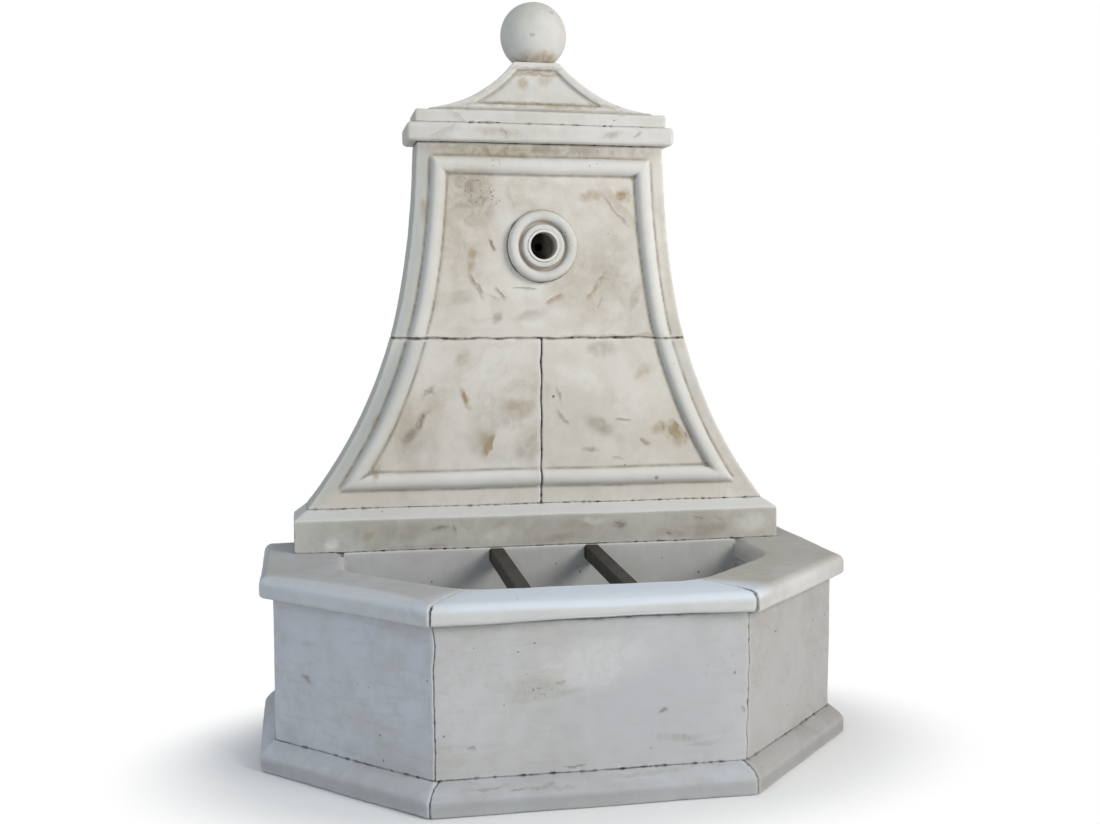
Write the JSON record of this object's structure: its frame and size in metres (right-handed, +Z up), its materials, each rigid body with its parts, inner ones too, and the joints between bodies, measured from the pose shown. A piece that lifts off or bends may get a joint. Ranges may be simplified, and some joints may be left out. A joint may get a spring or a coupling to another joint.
{
  "type": "wall fountain",
  "caption": "Cast-stone wall fountain: half-octagon basin with rounded coping and iron bars, framed back panel with a round spout, cornice, pediment and ball finial.",
  "frame": {"origin": "middle of the footprint at ground level", "axes": "+Z up, +Y towards the house wall behind the fountain, +X to the right seen from the front"},
  "size_m": [1.318, 0.72, 1.7],
  "materials": {
    "cast_stone": "matt, weathered",
    "forged_iron": "dark, lightly rusted",
    "pipe_plastic": "satin",
    "steel_pins": "plain",
    "brass_fittings": "dull",
    "copper_pipe": "dull",
    "black_rubber": "matt"
  },
  "bodies": {
    "fountain": {"plinth_left_rear": "cast_stone", "plinth_left": "cast_stone", "plinth_front": "cast_stone", "plinth_right": "cast_stone", "plinth_right_rear": "cast_stone", "wall_left": "cast_stone", "wall_front": "cast_stone", "wall_right": "cast_stone", "coping_left": "cast_stone", "coping_front": "cast_stone", "coping_right": "cast_stone", "lower_block_left": "cast_stone", "lower_block_right": "cast_stone", "upper_block": "cast_stone", "basin_floor": "cast_stone", "basin_back_wall": "cast_stone", "base_course": "cast_stone", "spout_rosette": "cast_stone", "cornice_slab": "cast_stone", "pediment_cap": "cast_stone", "ball_finial": "cast_stone", "bucket_bar_left": "forged_iron", "bucket_bar_right": "forged_iron", "spout_sleeve": "pipe_plastic", "back_wall_dowels": "steel_pins", "base_course_dowels": "steel_pins", "base_bed_dowels": "steel_pins", "block_joint_dowels": "steel_pins", "upper_block_dowels": "steel_pins", "cornice_dowels": "steel_pins", "finial_dowel": "steel_pins", "wall_cramps": "steel_pins", "waste_body": "brass_fittings", "waste_locknut": "brass_fittings", "supply_riser": "copper_pipe", "sleeve_bush": "black_rubber", "waste_washer": "black_rubber"},
    "standpipe": {"overflow_standpipe": "brass_fittings", "standpipe_seal": "black_rubber"}
  },
  "joints": [
    {"name": "standpipe_lift", "type": "slide", "parent": "fountain", "child": "standpipe", "axis": [0, 0, 1], "range_m": [0, 0.4]}
  ]
}
